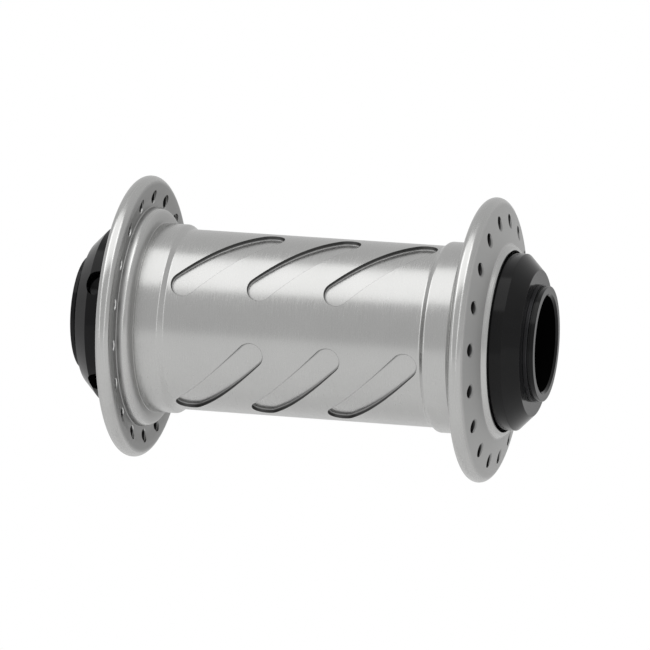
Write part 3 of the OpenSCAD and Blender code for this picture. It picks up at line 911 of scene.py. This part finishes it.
def rubber_black():
    """Rubber of the rings in the caps and the dust seals."""
    return turned_metal("rubber_black", dark=(0.012, 0.012, 0.012), light=(0.026, 0.026, 0.026),
                        metallic=0.0, rough=0.62, line_scale=2.0, line_depth=0.01, grain=0.8)


def seal_rubber():
    """Rubber of the bearing seals."""
    return turned_metal("seal_rubber", dark=(0.02, 0.02, 0.022), light=(0.04, 0.04, 0.043), metallic=0.0,
                        rough=0.55, line_scale=3.0, line_depth=0.008, grain=0.6)


# Studio. The two levels are the strength of the world as light on the pieces, and as metal shows it
LAMP_DISTANCE = 0.9
ROOM_LIGHT = 0.65
ROOM_IN_METAL = 0.72
FLOOR_HALF = 3.0
FLOOR_HEIGHT = -0.13
FLOOR_BEHIND_IN_METAL = 0.76
# Where the floor's material changes, in millimetres: outwards from its middle, and along X for metal
FLOOR_PALE_R = 60.0
FLOOR_WHITE_R = 190.0
FLOOR_GREY_X = -150.0
FLOOR_WHITE_X = 100.0


def ray_kinds(nt):
    """Two factors: 1 for rays from the camera, and 1 for those and for rays that metal or glass send on."""
    path = nt.nodes.new("ShaderNodeLightPath")
    camera = path.outputs["Is Camera Ray"]
    sent_on = math_node(nt, "MAXIMUM", path.outputs["Is Glossy Ray"], path.outputs["Is Transmission Ray"])
    return camera, math_node(nt, "MAXIMUM", camera, sent_on)


def floor_material():
    """Pale below the hub, where the floor shows its shadow, and going over to white further out."""
    mat, nt, bsdf = new_material("floor_pale", (0.92, 0.92, 0.92), 0.0, 0.9)
    x, y, _ = coordinates(nt)
    camera, direct = ray_kinds(nt)
    # White to the camera, and in metal pale grey behind the hub and white in front of it
    in_metal = ramp(nt, x, FLOOR_BEHIND_IN_METAL, 1.0, FLOOR_GREY_X, FLOOR_WHITE_X)
    white = nt.nodes.new("ShaderNodeEmission")
    white.inputs["Color"].default_value = (1, 1, 1, 1)
    nt.links.new(math_node(nt, "MAXIMUM", camera, in_metal), white.inputs["Strength"])
    further_out = above(nt, length_of(nt, x, y), FLOOR_PALE_R, FLOOR_WHITE_R)
    shader = nt.nodes.new("ShaderNodeMixShader")
    nt.links.new(math_node(nt, "MULTIPLY", direct, further_out), shader.inputs[0])
    nt.links.new(bsdf.outputs[0], shader.inputs[1])
    nt.links.new(white.outputs[0], shader.inputs[2])
    nt.links.new(shader.outputs[0], nt.nodes["Material Output"].inputs["Surface"])
    return mat


def make_floor():
    """Plain floor a little way below the hub."""
    mesh = bpy.data.meshes.new("floor")
    corners = ((-1, -1), (1, -1), (1, 1), (-1, 1))
    mesh.from_pydata([(FLOOR_HALF * x, FLOOR_HALF * y, FLOOR_HEIGHT) for x, y in corners], [], [(0, 1, 2, 3)])
    mesh.materials.append(floor_material())
    linked("floor", mesh)


def make_world():
    """White to the camera, a pale grey room in the metal, and a plain level of light on the pieces."""
    world = bpy.data.worlds.new("studio")
    bpy.context.scene.world = world
    world.use_nodes = True
    nt = world.node_tree
    background = nt.nodes["Background"]
    background.inputs["Color"].default_value = (1, 1, 1, 1)
    camera, direct = ray_kinds(nt)
    room = ramp(nt, direct, ROOM_LIGHT, ROOM_IN_METAL, 0.0, 1.0)
    rest_to_white = math_node(nt, "MULTIPLY", camera, 1.0 - ROOM_IN_METAL)
    nt.links.new(math_node(nt, "ADD", room, rest_to_white), background.inputs["Strength"])


def panel(name, angle, y, size_round, size_along, radiance):
    """Soft lamp that faces the hub, at an angle in degrees from +Z towards +X, and at a place along Y."""
    data = bpy.data.lights.new(name, "AREA")
    data.shape = "RECTANGLE"
    data.size = size_round
    data.size_y = size_along
    # The radiance of an area lamp is its power over pi times its area
    data.energy = radiance * math.pi * size_round * size_along
    a = math.radians(angle)
    place = Vector((math.sin(a) * LAMP_DISTANCE, y, math.cos(a) * LAMP_DISTANCE))
    z_axis = place.normalized()
    x_axis = Vector((0, 1, 0)).cross(z_axis).normalized()
    lamp = bpy.data.objects.new(name, data)
    lamp.matrix_world = facing(place, z_axis, x_axis)
    bpy.context.scene.collection.objects.link(lamp)


make_camera()
bpy.context.scene.view_settings.view_transform = "Standard"

shell = hub_shell()
cap = end_cap()
adjuster = preload_adjuster()
axle = axle_tube()
for ob, body, node, slot in (
    (shell, "shell", "hub_shell", "shell_silver"),
    (cap, "axle", "right_end_cap", "cap_black"),
    (adjuster, "adjuster", "preload_adjuster", "cap_black"),
    (axle, "axle", "axle_tube", "axle_black"),
):
    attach(ob, body)
    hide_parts(node)

by_slot = {
    "shell_silver": shell_silver(),
    "cap_black": cap_black(),
    "axle_black": axle_black(),
    "spacer_silver": spacer_silver(),
    "ring_steel": ring_steel(),
    "washer_steel": washer_steel(),
    "race_steel": race_steel(),
    "ball_steel": ball_steel(),
    "cage_plastic": cage_plastic(),
    "rubber_black": rubber_black(),
    "seal_rubber": seal_rubber(),
}
for ob, materials in (
    (shell, (by_slot["shell_silver"], hole_walls(), pocket_floors(), pocket_walls())),
    (cap, (by_slot["cap_black"],)),
    (adjuster, (by_slot["cap_black"], by_slot["cap_black"])),
    (axle, (by_slot["axle_black"], bore_black())),
):
    for material in materials:
        ob.data.materials.append(material)
for part in frame["record"]["subparts"]:
    for slot in frame["nodes"][part["node"]].material_slots:
        slot.material = by_slot[part["material_slot"]]

make_floor()
make_world()
panel("overhead_softbox", angle=11.0, y=-0.2, size_round=0.85, size_along=2.0, radiance=1.08)
panel("right_strip", angle=45.0, y=0.55, size_round=2.8, size_along=0.17, radiance=1.1)
panel("left_strip", angle=45.0, y=-1.2, size_round=2.8, size_along=0.26, radiance=1.1)
